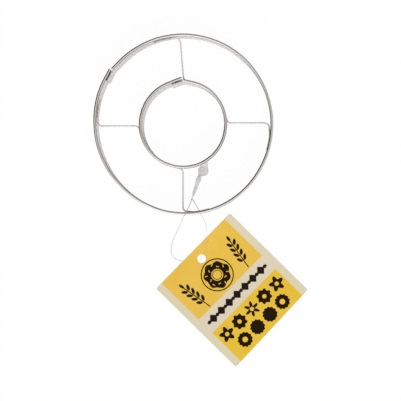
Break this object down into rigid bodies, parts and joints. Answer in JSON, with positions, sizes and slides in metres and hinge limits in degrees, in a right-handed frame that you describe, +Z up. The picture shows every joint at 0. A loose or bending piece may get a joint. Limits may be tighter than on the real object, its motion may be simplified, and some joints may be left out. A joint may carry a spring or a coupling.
{
  "type": "donut cutter",
  "caption": "Round pastry cutter: two hemmed tinplate rings joined by bent wire spokes, cutting a doughnut and its hole, with a card hang tag on a nylon loop.",
  "frame": {"origin": "on the axis of the two rings, on the surface that the cutter stands on", "axes": "+Z up along the rings' axis, towards the hemmed edges; +X along the spoke on the tag's side, +Y away from the tag"},
  "size_m": [0.0984, 0.1532, 0.0233],
  "materials": {
    "tinplate": "bright rolled tinplate with fine drawing marks",
    "steel_wire": "bright drawn wire",
    "nylon": "clear, slightly milky nylon",
    "printed_card": "smooth card printed in yellow and cream"
  },
  "bodies": {
    "cutter": {"outer_ring": "tinplate", "inner_ring": "tinplate", "spoke_right": "steel_wire", "spoke_top": "steel_wire", "spoke_left": "steel_wire", "spoke_bottom": "steel_wire"},
    "tag_loop": {"loop_string": "nylon", "lock_socket": "nylon", "lock_plug": "nylon"},
    "tag": {"tag_card": "printed_card"}
  },
  "joints": [
    {"name": "loop_travel", "type": "hinge", "parent": "cutter", "child": "tag_loop", "pos_m": [0, 0, 0], "axis": [0, 0, 1], "range_deg": [0, 84]},
    {"name": "tag_swivel", "type": "hinge", "parent": "tag_loop", "child": "tag", "pos_m": [0.00763, -0.06156, 0.00077], "axis": [0, 0, 1], "range_deg": [-48, 12]}
  ]
}
